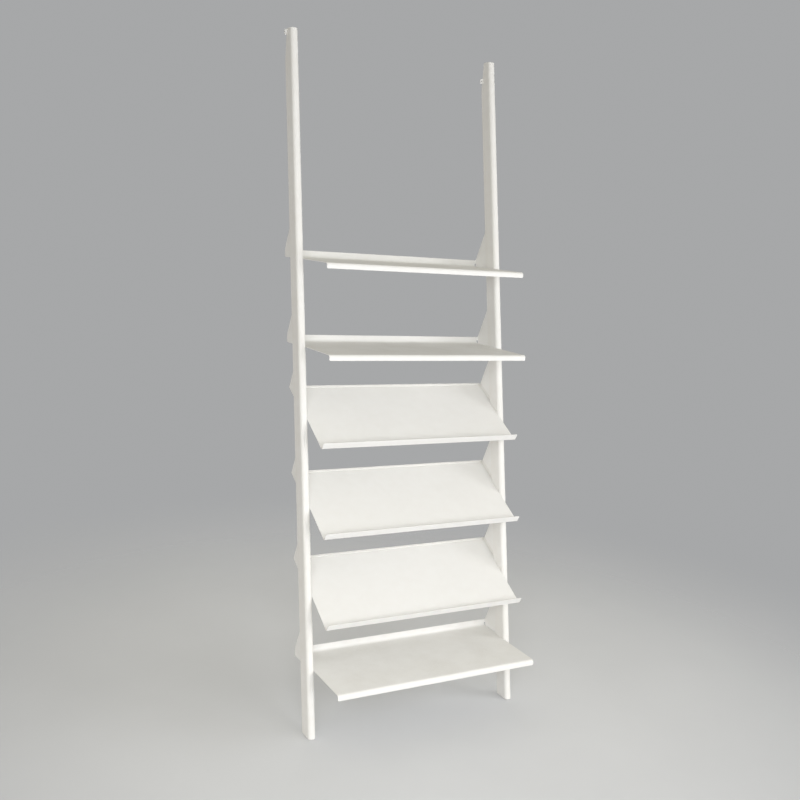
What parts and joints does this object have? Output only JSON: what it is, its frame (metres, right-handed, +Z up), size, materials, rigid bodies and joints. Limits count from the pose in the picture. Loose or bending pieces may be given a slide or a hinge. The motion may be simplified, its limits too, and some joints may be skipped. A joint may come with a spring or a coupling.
{
  "type": "leaning wall bookcase",
  "caption": "Leaning wall bookcase: painted rails that stand on the floor and meet the wall carry folded steel shelves, flat ones for books and sloping ones with a lip for display.",
  "frame": {"origin": "on the floor, in the middle of the object's width and depth", "axes": "+X to the right as one faces the front, +Y back to the wall, +Z up"},
  "size_m": [0.662, 0.5172, 1.84],
  "materials": {
    "painted_wood": "warm white satin paint on hardwood",
    "painted_steel": "warm white satin powder coat on folded steel sheet",
    "zinc_screw": "zinc plated steel",
    "brass": "plain brass",
    "felt": "grey wool felt"
  },
  "bodies": {
    "root": {"bottom_flat_screws": "zinc_screw", "bottom_flat_shelf": "painted_steel", "left_foot_pad": "felt", "left_rail": "painted_wood", "left_rail_inserts": "brass", "left_wall_plate": "painted_steel", "left_wall_plate_screws": "zinc_screw", "lower_slanted_screws": "zinc_screw", "lower_slanted_shelf": "painted_steel", "middle_slanted_screws": "zinc_screw", "middle_slanted_shelf": "painted_steel", "right_foot_pad": "felt", "right_rail": "painted_wood", "right_rail_inserts": "brass", "right_wall_plate": "painted_steel", "right_wall_plate_screws": "zinc_screw", "top_flat_screws": "zinc_screw", "top_flat_shelf": "painted_steel", "upper_flat_screws": "zinc_screw", "upper_flat_shelf": "painted_steel", "upper_slanted_screws": "zinc_screw", "upper_slanted_shelf": "painted_steel"}
  },
  "joints": []
}
